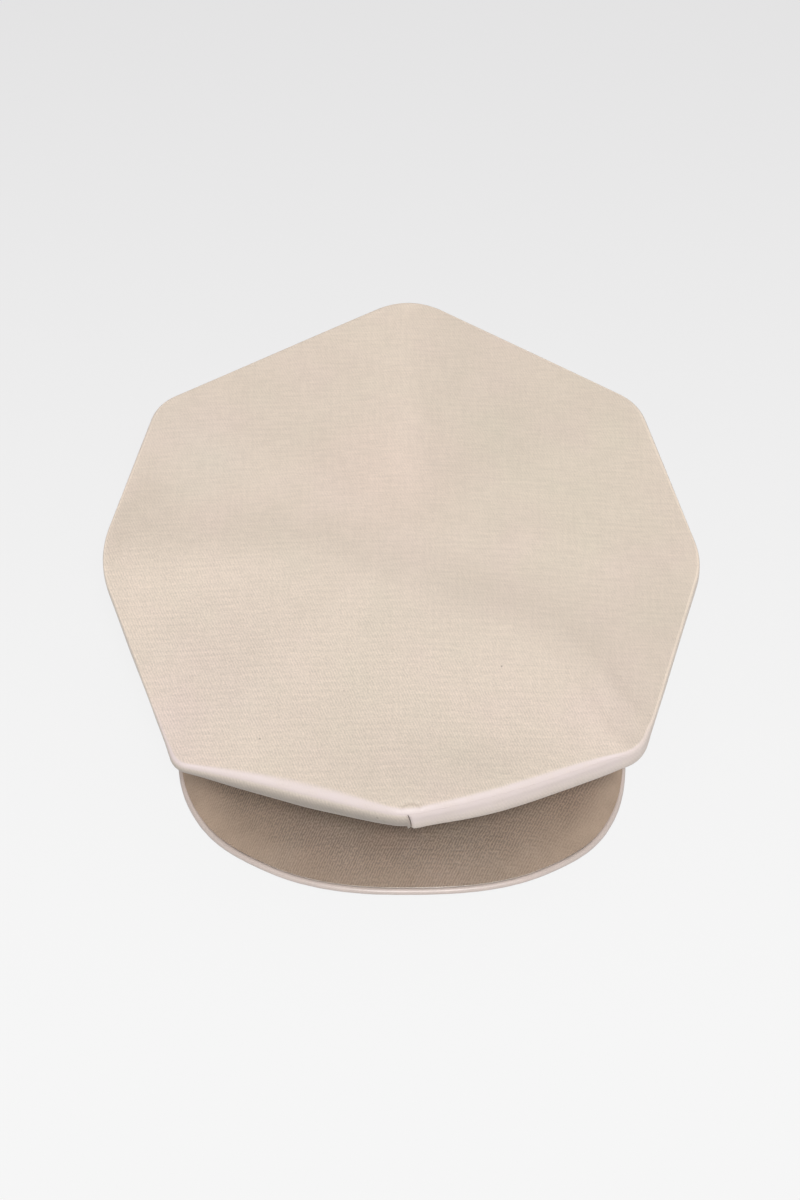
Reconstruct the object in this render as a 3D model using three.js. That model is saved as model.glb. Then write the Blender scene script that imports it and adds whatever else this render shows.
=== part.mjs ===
// An eight-cornered cap in pale twill: a flat octagonal crown sewn to two side walls that turn
// in to an oval head band, and a short stiff peak whose covers are closed by a rolled edge.
//
// Sizes are millimetres. +Z is up, -Y is the front of the cap and +X is the right of someone who
// faces it. Every piece is drawn as the cap is worn, from the middle of the band's lower edge,
// and the whole cap is then laid down to rest on its peak and the back of its band.
import * as THREE from "three";
import { mergeVertices } from "three/addons/utils/BufferGeometryUtils.js";

// Head opening and band
const headWidth = 168;
const headLength = 194;
const bandWall = 3;
const bandHeight = 32;
const bandBulge = 0.8;

// Crown: the octagonal top panel and the walls below it. Width and length run between the sharp
// corners, before cornerRound takes the tips off.
const crownWidth = 272;
const crownLength = 276;
const crownForward = 3;
const crownFrontHeight = 62;
const crownBackHeight = 82;
const crownDome = 11;
const panelSag = 0.9;
const cornerDroop = 2;
const cornerRound = 18;
const topWall = 2.2;
const sideWall = 2.4;

// Peak
const peakWidth = 205;
const peakReach = 38;
const peakWidestAhead = 58;
const peakDrop = 17;
const peakCamber = 2;
const peakSeatHeight = 7;
const leftRimFullness = 2.15;
const rightRimFullness = 2.45;
const hornAhead = 8;
const hornWidth = 4.5;
const upperCover = 1.2;
const underCover = 1.3;
const edgeDepth = 1.6;
const edgeStand = 0.2;

// Clearances: where two sewn pieces meet, inside the rolled edge, and at the two open seams
const seamGap = 0.35;
const rollGap = 0.5;
const openSeam = 0.7;

// How finely the pieces are divided
const arcSteps = 2;
const edgeSteps = 5;
const bandSteps = 64;
const peakSteps = 44;

// One row for each corner of the crown, round from the front. across and along are shares of half
// the crown's width and length, droop is a share of cornerDroop, round one of cornerRound, and
// turn says how deep the side wall stands before it turns in: above 1 deeper, below 1 sooner.
const crownCorners = [
  { across: 0.018, along: -1.0, droop: 0, round: 0.45, turn: 1.15 },
  { across: 0.775, along: -0.77, droop: 1, round: 0.35, turn: 0.6 },
  { across: 0.99, along: -0.075, droop: 0.5, round: 0.6, turn: 0.5 },
  { across: 0.8, along: 0.555, droop: 0.5, round: 0.55, turn: 0.8 },
  { across: 0.028, along: 1.0, droop: 0, round: 1, turn: 1 },
  { across: -0.83, along: 0.555, droop: 0.5, round: 0.5, turn: 0.8 },
  { across: -1.01, along: -0.065, droop: 0.5, round: 1, turn: 0.4 },
  { across: -0.715, along: -0.835, droop: 1, round: 0.3, turn: 0.3 },
];

// Section of the side wall from the band up to the crown's seam: shares of the way out and up.
const wallSection = [
  { out: 0, up: 0 },
  { out: 0.03, up: 0.08 },
  { out: 0.3, up: 0.15 },
  { out: 0.62, up: 0.22 },
  { out: 0.88, up: 0.3 },
  { out: 1, up: 0.43 },
  { out: 1.03, up: 0.68 },
  { out: 1, up: 1 },
];

// Rings of the top panel, as shares of the way from its middle to its seam.
const panelRings = [0, 0.2, 0.42, 0.64, 0.82, 0.94, 1];

// Height of the peak's rim below the band's edge, as a share of peakDrop, from its middle to a horn.
const rimDrops = [
  { along: 0, drop: 0.58 },
  { along: 0.3, drop: 0.68 },
  { along: 0.55, drop: 0.96 },
  { along: 0.68, drop: 1 },
  { along: 0.8, drop: 0.88 },
  { along: 0.92, drop: 0.36 },
  { along: 1, drop: -0.1 },
];

const creamTwill = new THREE.MeshStandardMaterial({ color: 0xded0c0, roughness: 0.62, metalness: 0 });
const creamSeam = new THREE.MeshStandardMaterial({ color: 0xe6dacd, roughness: 0.5, metalness: 0 });
const shadedTwill = new THREE.MeshStandardMaterial({ color: 0xb8a390, roughness: 0.7, metalness: 0 });

const mix = THREE.MathUtils.lerp;

// A closed wall from stations along its run. Each station holds two lists of points, over the
// outer and the inner face. A closed run meets itself, and an open one gets a cap at each end.
function wallGeometry(stations, closed) {
  const positions = [];
  const triangle = (a, b, c) => {
    if (a.distanceTo(b) > 1e-4 && b.distanceTo(c) > 1e-4 && c.distanceTo(a) > 1e-4) {
      positions.push(...a, ...b, ...c);
    }
  };
  const quad = (a, b, c, d) => {
    triangle(a, b, c);
    triangle(a, c, d);
  };
  const last = stations[0].outer.length - 1;
  const runs = closed ? stations.length : stations.length - 1;
  for (let i = 0; i < runs; i++) {
    const here = stations[i];
    const next = stations[(i + 1) % stations.length];
    for (let k = 0; k < last; k++) {
      quad(here.outer[k], next.outer[k], next.outer[k + 1], here.outer[k + 1]);
      quad(here.inner[k], here.inner[k + 1], next.inner[k + 1], next.inner[k]);
    }
    quad(here.inner[0], next.inner[0], next.outer[0], here.outer[0]);
    quad(here.outer[last], next.outer[last], next.inner[last], here.inner[last]);
  }
  if (!closed) {
    const first = stations[0];
    const end = stations[stations.length - 1];
    for (let k = 0; k < last; k++) {
      quad(first.inner[k], first.outer[k], first.outer[k + 1], first.inner[k + 1]);
      quad(end.outer[k], end.inner[k], end.inner[k + 1], end.outer[k + 1]);
    }
  }
  const loose = new THREE.BufferGeometry();
  loose.setAttribute("position", new THREE.Float32BufferAttribute(positions, 3));
  const geometry = mergeVertices(loose, 1e-3);
  geometry.computeVertexNormals();
  return geometry;
}

function pieceOf(name, stations, closed, material) {
  const mesh = new THREE.Mesh(wallGeometry(stations, closed), material);
  mesh.name = name;
  return mesh;
}

// A point of the oval, grown outwards from the head opening, at an angle from the front.
function ovalPoint(angle, grow, height) {
  return new THREE.Vector3(
    (headWidth / 2 + grow) * Math.sin(angle),
    -(headLength / 2 + grow) * Math.cos(angle),
    height,
  );
}

// Height of the crown's seam plane above the band's lower edge.
function seamPlane(y) {
  return mix(crownFrontHeight, crownBackHeight, (y + crownForward) / crownLength + 0.5);
}

function cornerPoint(row) {
  const y = (row.along * crownLength) / 2 - crownForward;
  return new THREE.Vector3((row.across * crownWidth) / 2, y, seamPlane(y) - row.droop * cornerDroop);
}

// The seam round the top panel, from the middle of the front corner. between is 0 at a corner and
// 1 half-way along an edge.
function crownSeam() {
  const points = crownCorners.map(cornerPoint);
  const count = points.length;
  const bends = points.map((corner, i) => {
    const reach = crownCorners[i].round * cornerRound;
    const towards = (other) => other.clone().sub(corner).setLength(reach).add(corner);
    const before = towards(points[(i + count - 1) % count]);
    const after = towards(points[(i + 1) % count]);
    return new THREE.QuadraticBezierCurve3(before, corner, after);
  });
  const seam = [];
  for (let i = 0; i < count; i++) {
    const here = bends[i];
    const next = bends[(i + 1) % count];
    const turns = [crownCorners[i].turn, crownCorners[(i + 1) % count].turn];
    for (let k = 0; k < arcSteps; k++) {
      seam.push({ point: here.getPoint(0.5 + (0.5 * k) / arcSteps), between: 0, turn: turns[0] });
    }
    for (let k = 0; k < edgeSteps; k++) {
      const share = k / edgeSteps;
      const point = here.v2.clone().lerp(next.v0, share);
      seam.push({ point, between: Math.sin(Math.PI * share), turn: mix(...turns, share) });
    }
    for (let k = 0; k < arcSteps; k++) {
      seam.push({ point: next.getPoint((0.5 * k) / arcSteps), between: 0, turn: turns[1] });
    }
  }
  return seam;
}

// The top panel: a shallow dome inside the seam that sags a little between its corners.
function crownTop(seam) {
  const middle = new THREE.Vector3(0, -crownForward, seamPlane(-crownForward));
  const stations = seam.map(({ point, between }) => {
    const outer = panelRings.map((share) => {
      const spot = middle.clone().lerp(point, share);
      spot.z += crownDome * (1 - share ** 2.2);
      spot.z -= panelSag * between * Math.sin(Math.PI * share ** 1.6);
      return spot;
    });
    const inner = outer.map((spot) => spot.clone().setZ(spot.z - topWall));
    return { outer: outer.reverse(), inner: inner.reverse() };
  });
  return pieceOf("crown_top", stations, true, creamTwill);
}

// One station of a side wall: the section from the band's top edge out to the seam, and the same
// section moved in by the wall's thickness.
function wallStation(seamPoint, turn) {
  const grow = bandWall;
  const angle = Math.atan2(
    seamPoint.x / (headWidth / 2 + grow),
    -(seamPoint.y + crownForward) / (headLength / 2 + grow),
  );
  const foot = ovalPoint(angle, grow, bandHeight + seamGap);
  const head = seamPoint.clone();
  head.z -= topWall + seamGap;
  const outwards = new THREE.Vector3(head.x - foot.x, head.y - foot.y, 0);
  const overhang = outwards.length();
  const rise = head.z - foot.z;
  outwards.normalize();
  const flat = wallSection.map((row) => new THREE.Vector2(row.out * overhang, row.up ** turn * rise));
  const inFlat = flat.map((spot, i) => {
    const before = flat[Math.max(i - 1, 0)];
    const after = flat[Math.min(i + 1, flat.length - 1)];
    const along = after.clone().sub(before).normalize();
    if (i === 0 || i === flat.length - 1) {
      return new THREE.Vector2(spot.x - sideWall, spot.y);
    }
    return new THREE.Vector2(spot.x - along.y * sideWall, spot.y + along.x * sideWall);
  });
  const place = (spot) =>
    foot.clone().addScaledVector(outwards, spot.x).add(new THREE.Vector3(0, 0, spot.y));
  return { outer: flat.map(place), inner: inFlat.map(place) };
}

// The two side walls stop short of the front and back corners, where their seams lie open.
function sideWallPieces(seam) {
  const half = seam.length / 2;
  const stations = [...seam, seam[0]].map(({ point, turn }) => wallStation(point, turn));
  const pulled = (end, neighbour) => {
    const slide = (list, other) =>
      list.map((spot, k) => {
        const inwards = other[k].clone().sub(spot);
        return spot.clone().addScaledVector(inwards.normalize(), openSeam / 2);
      });
    return { outer: slide(end.outer, neighbour.outer), inner: slide(end.inner, neighbour.inner) };
  };
  const halfWall = (name, from) => {
    const run = stations.slice(from, from + half + 1);
    run[0] = pulled(run[0], run[1]);
    run[half] = pulled(run[half], run[half - 1]);
    return pieceOf(name, run, false, creamTwill);
  };
  return [halfWall("side_wall_right", 0), halfWall("side_wall_left", half)];
}

function headBand() {
  const levels = [0, 1 / 3, 2 / 3, 1];
  const stations = Array.from({ length: bandSteps }, (_, i) => {
    const angle = (i / bandSteps) * 2 * Math.PI;
    const bulged = (grow) =>
      levels.map((level) =>
        ovalPoint(angle, grow + bandBulge * Math.sin(Math.PI * level), level * bandHeight),
      );
    return { outer: bulged(bandWall), inner: bulged(0) };
  });
  return pieceOf("head_band", stations, true, creamTwill);
}

const bandFront = headLength / 2 + bandWall;
const bandSide = headWidth / 2 + bandWall;

// Plan and height of the peak's rim. along runs from -1 at one horn, through 0 in the middle of
// the front, to 1 at the other horn.
function rimPoint(along) {
  const frontShare = 0.8;
  const side = Math.sign(along);
  const far = Math.abs(along);
  const hornLine = bandSide + seamGap + hornWidth;
  const spot = new THREE.Vector3();
  if (far <= frontShare) {
    const angle = ((far / frontShare) * Math.PI) / 2;
    const power = 2 / (side < 0 ? leftRimFullness : rightRimFullness);
    const reach = bandFront + peakReach - peakWidestAhead;
    spot.x = ((side * peakWidth) / 2) * Math.sin(angle) ** power;
    spot.y = -peakWidestAhead - reach * Math.max(Math.cos(angle), 0) ** power;
  } else {
    const angle = (((far - frontShare) / (1 - frontShare)) * Math.PI) / 2;
    spot.x = side * mix(hornLine, peakWidth / 2, Math.cos(angle));
    spot.y = mix(-peakWidestAhead, -hornAhead, Math.sin(angle));
  }
  const row = Math.max(rimDrops.findIndex((r) => r.along >= far), 1);
  const [low, high] = [rimDrops[row - 1], rimDrops[row]];
  const ease = THREE.MathUtils.smoothstep(far, low.along, high.along);
  spot.z = -peakDrop * mix(low.drop, high.drop, ease);
  return spot;
}

// One section of the peak: the line over its upper face from the band out to the rim, the way that
// line runs down, and the way that stands square to it.
function peakSection(along) {
  const hornAngle = Math.acos(hornAhead / bandFront);
  const seat = ovalPoint(along * hornAngle, bandWall + bandBulge + seamGap, peakSeatHeight);
  const rim = rimPoint(along);
  const down = rim.clone().sub(seat).normalize();
  const lift = down.clone().setZ(0).normalize().multiplyScalar(-down.z);
  lift.z = Math.hypot(down.x, down.y);
  const line = [0, 0.25, 0.5, 0.75, 1].map((share) => {
    const spot = seat.clone().lerp(rim, share);
    spot.z += peakCamber * Math.sin(Math.PI * share);
    return spot;
  });
  return { line, down, lift };
}

function peakStations(makeStation) {
  return Array.from({ length: peakSteps + 1 }, (_, i) => makeStation((2 * i) / peakSteps - 1));
}

// A cover of the peak: the same crescent, between two depths below the upper face. It is sunk
// straight down beside the band and square to the face at the rim.
function peakCover(name, top, bottom, material) {
  const stations = peakStations((along) => {
    const { line, lift } = peakSection(along);
    const upright = new THREE.Vector3(0, 0, 1 / lift.z);
    const sunk = (depth) =>
      line.map((spot, k) => {
        const way = upright.clone().lerp(lift, k / (line.length - 1));
        return spot.clone().addScaledVector(way, -depth);
      });
    return { outer: sunk(top).reverse(), inner: sunk(bottom).reverse() };
  });
  return pieceOf(name, stations, false, material);
}

// The rolled edge that closes the two covers, a half-round strip along the rim.
function peakEdge() {
  const height = upperCover + seamGap + underCover + 2 * edgeStand;
  const turns = [-1, -0.6, 0, 0.6, 1];
  const stations = peakStations((along) => {
    const { line, down, lift } = peakSection(along);
    const rim = line[line.length - 1];
    const place = (out, turn) => {
      const rise = edgeStand + height * (0.5 * Math.sin((turn * Math.PI) / 2) - 0.5);
      return rim.clone().addScaledVector(down, out).addScaledVector(lift, rise);
    };
    const swell = (turn) => edgeDepth * (0.5 + 0.5 * Math.cos((turn * Math.PI) / 2));
    return {
      outer: turns.map((turn) => place(rollGap + swell(turn), turn)),
      inner: turns.map((turn) => place(rollGap, turn)),
    };
  });
  return pieceOf("peak_edge", stations, false, creamSeam);
}

// The angle at which the front has to be raised for both groups of pieces to touch one plane.
function restTilt(frontPieces, backPieces) {
  const lowest = (pieces, tilt) => {
    let low = Infinity;
    for (const { geometry } of pieces) {
      const { array } = geometry.attributes.position;
      for (let i = 0; i < array.length; i += 3) {
        low = Math.min(low, array[i + 2] * Math.cos(tilt) - array[i + 1] * Math.sin(tilt));
      }
    }
    return low;
  };
  let [flat, steep] = [0, Math.PI / 4];
  for (let i = 0; i < 40; i++) {
    const tilt = (flat + steep) / 2;
    if (lowest(frontPieces, tilt) < lowest(backPieces, tilt)) flat = tilt;
    else steep = tilt;
  }
  return flat;
}

function buildCap() {
  const seam = crownSeam();
  const band = headBand();
  const peak = [
    peakCover("peak_upper_cover", 0, upperCover, shadedTwill),
    peakCover("peak_under_cover", upperCover + seamGap, upperCover + seamGap + underCover, creamTwill),
    peakEdge(),
  ];
  const worn = new THREE.Group();
  worn.add(crownTop(seam), ...sideWallPieces(seam), band, ...peak);
  worn.rotation.x = -restTilt(peak, [band]);

  const cap = new THREE.Group();
  cap.add(worn);
  cap.updateMatrixWorld(true);
  const box = new THREE.Box3().setFromObject(cap, true);
  const middle = box.getCenter(new THREE.Vector3());
  worn.position.set(-middle.x, -middle.y, -box.min.z);
  return cap;
}

export default buildCap();
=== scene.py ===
from bisect import bisect_left
from functools import lru_cache
from math import acos, atan2, cos, exp, hypot, pi, radians, sin, tau

import bmesh
import bpy
from mathutils import Matrix, Vector, noise


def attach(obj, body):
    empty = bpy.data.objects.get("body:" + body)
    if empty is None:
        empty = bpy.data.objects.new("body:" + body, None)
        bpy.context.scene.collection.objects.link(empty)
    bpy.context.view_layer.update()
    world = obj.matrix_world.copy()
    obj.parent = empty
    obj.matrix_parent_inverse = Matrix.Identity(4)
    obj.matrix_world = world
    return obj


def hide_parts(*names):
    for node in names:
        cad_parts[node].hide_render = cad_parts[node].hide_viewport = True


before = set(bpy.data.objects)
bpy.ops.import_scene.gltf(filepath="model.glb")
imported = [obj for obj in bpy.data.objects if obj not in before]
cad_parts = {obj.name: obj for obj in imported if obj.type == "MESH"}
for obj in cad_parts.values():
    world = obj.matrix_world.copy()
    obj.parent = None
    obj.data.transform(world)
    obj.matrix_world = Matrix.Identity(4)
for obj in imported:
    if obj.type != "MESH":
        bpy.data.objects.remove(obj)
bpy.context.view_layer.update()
print("cap: frame loaded")

# Everything below is shaped in millimetres as the cap is worn: -Y is the front, +Z is up, and zero
# is the middle of the band's lower edge. wornToRest lays it down as the frame lies, in metres.
restPose = {
    "tilt": 6.683,
    "shift": (0.747, 0.307, 11.637),
}
wornToRest = (
    Matrix.Scale(0.001, 4)
    @ Matrix.Translation(restPose["shift"])
    @ Matrix.Rotation(radians(-restPose["tilt"]), 4, "X")
)


# Small helpers
def mix(a, b, share):
    return a + (b - a) * share


def smooth(low, high, x):
    share = min(max((x - low) / (high - low), 0), 1)
    return share * share * (3 - 2 * share)


def rowValue(rows, x):
    # a value that passes smoothly through rows of x and value
    k = next((k for k in range(1, len(rows)) if x <= rows[k][0]), len(rows) - 1)
    low, high = rows[k - 1], rows[k]
    return mix(low[1], high[1], smooth(low[0], high[0], x))


def bell(x, middle, width):
    # 1 at the middle, fading out to both sides
    return exp(-(((x - middle) / width) ** 2))


def ripple(x, y, z=0.0):
    return noise.noise(Vector((x, y, z)))


def softLine(points, share):
    # a smooth line through points that may be unevenly spaced, with share from 0 to 1 of its length
    steps = [(b - a).length for a, b in zip(points, points[1:])]
    slopes = [(b - a) / step for a, b, step in zip(points, points[1:], steps)]
    left = min(max(share, 0), 1) * sum(steps)
    k = 0
    while k < len(steps) - 1 and left > steps[k]:
        left -= steps[k]
        k += 1

    def heading(j):
        if j in (0, len(steps)):
            return slopes[min(j, len(steps) - 1)]
        return (slopes[j - 1] * steps[j] + slopes[j] * steps[j - 1]) / (steps[j - 1] + steps[j])

    t = left / steps[k]
    start, end = points[k], points[k + 1]
    bend = heading(k) * (t * (1 - t) ** 2) - heading(k + 1) * (t * t * (1 - t))
    return start.lerp(end, t * t * (3 - 2 * t)) + bend * steps[k]


def clothGrid(columns, rows, place, cloth, facing=None, paintedLightAt=None):
    # a bmesh grid bent into shape. place and cloth take the shares across and up, and give the point
    # and the cloth's own coordinates there in millimetres. facing gives the way a face at a point has to
    # look. The last function gives the painted highlight and the painted shade there (painted light
    # where negative), both from 0 to 1.
    bm = bmesh.new()
    bmesh.ops.create_grid(bm, x_segments=columns, y_segments=rows, size=0.5)
    uv = bm.loops.layers.uv.new("cloth")
    pressed = bm.loops.layers.uv.new("pressed")
    for face in bm.faces:
        for loop in face.loops:
            across, up = loop.vert.co.x + 0.5, loop.vert.co.y + 0.5
            loop[uv].uv = cloth(across, up)
            loop[pressed].uv = paintedLightAt(across, up) if paintedLightAt else (0, 0)
    for vert in bm.verts:
        vert.co = place(vert.co.x + 0.5, vert.co.y + 0.5)
    bmesh.ops.remove_doubles(bm, verts=bm.verts, dist=0.005)
    bmesh.ops.recalc_face_normals(bm, faces=bm.faces)
    bm.faces.ensure_lookup_table()
    spot = bm.faces[len(bm.faces) // 3]
    if facing and spot.normal.dot(facing(spot.calc_center_median())) < 0:
        bmesh.ops.reverse_faces(bm, faces=bm.faces)
    return bm


def finishPiece(bm, name, material, nodes, wall=0.0):
    bmesh.ops.transform(bm, matrix=wornToRest, verts=bm.verts)
    for face in bm.faces:
        face.smooth = True
    for edge in bm.edges:
        edge.smooth = not edge.is_boundary
    mesh = bpy.data.meshes.new(name)
    bm.to_mesh(mesh)
    bm.free()
    mesh.materials.append(material)
    piece = bpy.data.objects.new(name, mesh)
    bpy.context.scene.collection.objects.link(piece)
    if wall:
        thick = piece.modifiers.new("clothThickness", "SOLIDIFY")
        thick.thickness = wall / 1000
        thick.offset = -1
        thick.use_even_offset = False
    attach(piece, "root")
    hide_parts(*nodes)
    return piece


# Node groups for the cloth
def newGroup(name, inputs, outputs):
    group = bpy.data.node_groups.new(name, "ShaderNodeTree")
    for socketName, kind, value in inputs:
        socket = group.interface.new_socket(name=socketName, in_out="INPUT", socket_type=kind)
        if value is not None:
            socket.default_value = value
    for socketName, kind in outputs:
        group.interface.new_socket(name=socketName, in_out="OUTPUT", socket_type=kind)
    return group, group.nodes.new("NodeGroupInput"), group.nodes.new("NodeGroupOutput")


def mathNode(tree, operation, *values, clamp=False):
    node = tree.nodes.new("ShaderNodeMath")
    node.operation = operation
    node.use_clamp = clamp
    for k, value in enumerate(values):
        if isinstance(value, (int, float)):
            node.inputs[k].default_value = value
        else:
            tree.links.new(value, node.inputs[k])
    return node.outputs[0]


def noiseNode(tree, vector, scale, detail=2.0, rough=0.5, stretch=None):
    if stretch:
        squeeze = tree.nodes.new("ShaderNodeMapping")
        squeeze.inputs["Scale"].default_value = stretch
        tree.links.new(vector, squeeze.inputs["Vector"])
        vector = squeeze.outputs["Vector"]
    node = tree.nodes.new("ShaderNodeTexNoise")
    node.inputs["Scale"].default_value = scale
    node.inputs["Detail"].default_value = detail
    node.inputs["Roughness"].default_value = rough
    tree.links.new(vector, node.inputs["Vector"])
    return node.outputs["Fac"]


def rangeNode(tree, value, low, high, toLow=0.0, toHigh=1.0):
    node = tree.nodes.new("ShaderNodeMapRange")
    node.interpolation_type = "SMOOTHSTEP"
    tree.links.new(value, node.inputs["Value"])
    for name, setting in zip(("From Min", "From Max", "To Min", "To Max"), (low, high, toLow, toHigh)):
        if isinstance(setting, (int, float)):
            node.inputs[name].default_value = setting
        else:
            tree.links.new(setting, node.inputs[name])
    return node.outputs["Result"]


def mixColour(tree, factor, first, second, blend="MIX"):
    node = tree.nodes.new("ShaderNodeMix")
    node.data_type = "RGBA"
    node.blend_type = blend
    for socket, value in zip((node.inputs[0], node.inputs[6], node.inputs[7]), (factor, first, second)):
        if isinstance(value, (int, float, tuple)):
            socket.default_value = value
        else:
            tree.links.new(value, socket)
    return node.outputs[2]


def scaleColour(tree, colour, factor):
    node = tree.nodes.new("ShaderNodeVectorMath")
    node.operation = "SCALE"
    tree.links.new(colour, node.inputs[0])
    tree.links.new(factor, node.inputs["Scale"])
    return node.outputs["Vector"]


def distanceNode(tree, first, second):
    node = tree.nodes.new("ShaderNodeVectorMath")
    node.operation = "DISTANCE"
    tree.links.new(first, node.inputs[0])
    tree.links.new(second, node.inputs[1])
    return node.outputs["Value"]


def twillGroup():
    # diagonal ribs of a fine twill, crossed by the rows of its weft
    group, given, out = newGroup(
        "twillWeave",
        [
            ("Cloth", "NodeSocketVector", None),
            ("Rib Pitch", "NodeSocketFloat", 1.0),
            ("Rib Slant", "NodeSocketFloat", 1.0),
            ("Row Pitch", "NodeSocketFloat", 1.25),
            ("Strength", "NodeSocketFloat", 1.0),
        ],
        [("Height", "NodeSocketFloat"), ("Rib", "NodeSocketFloat"), ("Yarn", "NodeSocketFloat")],
    )
    cloth = given.outputs["Cloth"]
    turn = group.nodes.new("ShaderNodeVectorRotate")
    turn.rotation_type = "Z_AXIS"
    group.links.new(cloth, turn.inputs["Vector"])
    group.links.new(given.outputs["Rib Slant"], turn.inputs["Angle"])
    along = group.nodes.new("ShaderNodeSeparateXYZ")
    group.links.new(turn.outputs["Vector"], along.inputs["Vector"])
    straight = group.nodes.new("ShaderNodeSeparateXYZ")
    group.links.new(cloth, straight.inputs["Vector"])
    wander = noiseNode(group, cloth, 0.3, 3.0, 0.6)
    waves = []
    for line, pitch, sway in (
        (along.outputs["X"], "Rib Pitch", 1.1),
        (straight.outputs["Y"], "Row Pitch", 1.4),
    ):
        turns = mathNode(group, "DIVIDE", line, given.outputs[pitch])
        turns = mathNode(group, "MULTIPLY_ADD", wander, sway, turns)
        wave = mathNode(group, "SINE", mathNode(group, "MULTIPLY", turns, tau))
        waves.append(mathNode(group, "MULTIPLY_ADD", wave, 0.5, 0.5))
    ribs, rows = waves
    grain = noiseNode(group, cloth, 1.1, 2.0, 0.6)
    uneven = rangeNode(group, noiseNode(group, cloth, 0.25, 3.0, 0.6), 0.3, 0.7, 0.25, 1.0)
    strength = mathNode(group, "MULTIPLY", uneven, given.outputs["Strength"])
    pattern = mathNode(group, "MULTIPLY", rows, 0.18)
    pattern = mathNode(group, "ADD", mathNode(group, "MULTIPLY", ribs, 0.52), pattern)
    pattern = mathNode(group, "SUBTRACT", pattern, 0.35)
    pattern = mathNode(group, "MULTIPLY", pattern, strength)
    grained = mathNode(group, "SUBTRACT", grain, 0.5)
    grained = mathNode(group, "MULTIPLY", grained, given.outputs["Strength"])
    pattern = mathNode(group, "MULTIPLY_ADD", grained, 1.15, pattern)
    pattern = mathNode(group, "ADD", pattern, 0.5)
    group.links.new(pattern, out.inputs["Height"])
    group.links.new(rangeNode(group, pattern, 0.0, 1.0), out.inputs["Rib"])
    weft = noiseNode(group, cloth, 1.0, 2.0, 0.6, stretch=(0.1, 0.75, 1.0))
    warp = noiseNode(group, cloth, 1.0, 2.0, 0.6, stretch=(0.75, 0.07, 1.0))
    yarn = mathNode(group, "MULTIPLY_ADD", warp, 0.4, mathNode(group, "MULTIPLY", weft, 0.6))
    group.links.new(yarn, out.inputs["Yarn"])
    return group


def toneGroup():
    # the cloth's colour: yarn to yarn, in slow patches of a pinker and a greener tone, and darker in the
    # hollows between the ribs, painted shade
    group, given, out = newGroup(
        "clothTone",
        [
            ("Cloth", "NodeSocketVector", None),
            ("Rib", "NodeSocketFloat", 0.5),
            ("Yarn", "NodeSocketFloat", 0.5),
            ("Colour", "NodeSocketColor", (0.7, 0.6, 0.5, 1)),
            ("Pink", "NodeSocketColor", (0.8, 0.6, 0.5, 1)),
            ("Green", "NodeSocketColor", (0.7, 0.65, 0.5, 1)),
            ("Patch Strength", "NodeSocketFloat", 0.3),
            ("Hollow Shade", "NodeSocketFloat", 0.12),
        ],
        [("Colour", "NodeSocketColor")],
    )
    patches = noiseNode(group, given.outputs["Cloth"], 0.028, 3.0, 0.5)
    strength = given.outputs["Patch Strength"]
    pinker = mathNode(group, "MULTIPLY", rangeNode(group, patches, 0.48, 0.72), strength)
    greener = mathNode(group, "MULTIPLY", rangeNode(group, patches, 0.5, 0.28), strength)
    colour = mixColour(group, pinker, given.outputs["Colour"], given.outputs["Pink"])
    colour = mixColour(group, greener, colour, given.outputs["Green"])
    mottle = noiseNode(group, given.outputs["Cloth"], 0.05, 3.0, 0.5)
    bright = rangeNode(group, mottle, 0.3, 0.7, 0.992, 1.008)
    yarns = rangeNode(group, given.outputs["Yarn"], 0.35, 0.65, 0.965, 1.03)
    bright = mathNode(group, "MULTIPLY", bright, yarns)
    hollow = mathNode(group, "SUBTRACT", 1.0, given.outputs["Rib"])
    hollow = mathNode(group, "MULTIPLY", hollow, given.outputs["Hollow Shade"])
    bright = mathNode(group, "SUBTRACT", bright, hollow)
    group.links.new(scaleColour(group, colour, bright), out.inputs["Colour"])
    return group


def paintedLightGroup():
    # painted light and shade: a paler, pinker painted highlight where given, painted light a little
    # paler towards the back, and darker by the painted shade
    group, given, out = newGroup(
        "clothPaintedLight",
        [
            ("Cloth", "NodeSocketVector", None),
            ("Painted Highlight", "NodeSocketFloat", 0.0),
            ("Painted Shade", "NodeSocketFloat", 0.0),
            ("Colour", "NodeSocketColor", (0.7, 0.6, 0.5, 1)),
            ("Painted Highlight Colour", "NodeSocketColor", (0.8, 0.7, 0.65, 1)),
            ("Painted Light From", "NodeSocketFloat", -60.0),
            ("Painted Light To", "NodeSocketFloat", 20.0),
            ("Painted Light Gain", "NodeSocketFloat", 1.0),
        ],
        [("Colour", "NodeSocketColor")],
    )
    place = group.nodes.new("ShaderNodeSeparateXYZ")
    group.links.new(given.outputs["Cloth"], place.inputs["Vector"])
    gain = rangeNode(
        group, place.outputs["Y"], given.outputs["Painted Light From"], given.outputs["Painted Light To"],
        1.0, given.outputs["Painted Light Gain"],
    )
    colour = scaleColour(group, given.outputs["Colour"], gain)
    patchy = noiseNode(group, given.outputs["Cloth"], 0.12, 3.0)
    uneven = rangeNode(group, patchy, 0.25, 0.7, 0.75, 1.0)
    paintedLightAt = mathNode(group, "MULTIPLY", given.outputs["Painted Highlight"], uneven)
    colour = mixColour(group, paintedLightAt, colour, given.outputs["Painted Highlight Colour"])
    kept = mathNode(group, "SUBTRACT", 1.0, given.outputs["Painted Shade"])
    group.links.new(scaleColour(group, colour, kept), out.inputs["Colour"])
    return group


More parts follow.
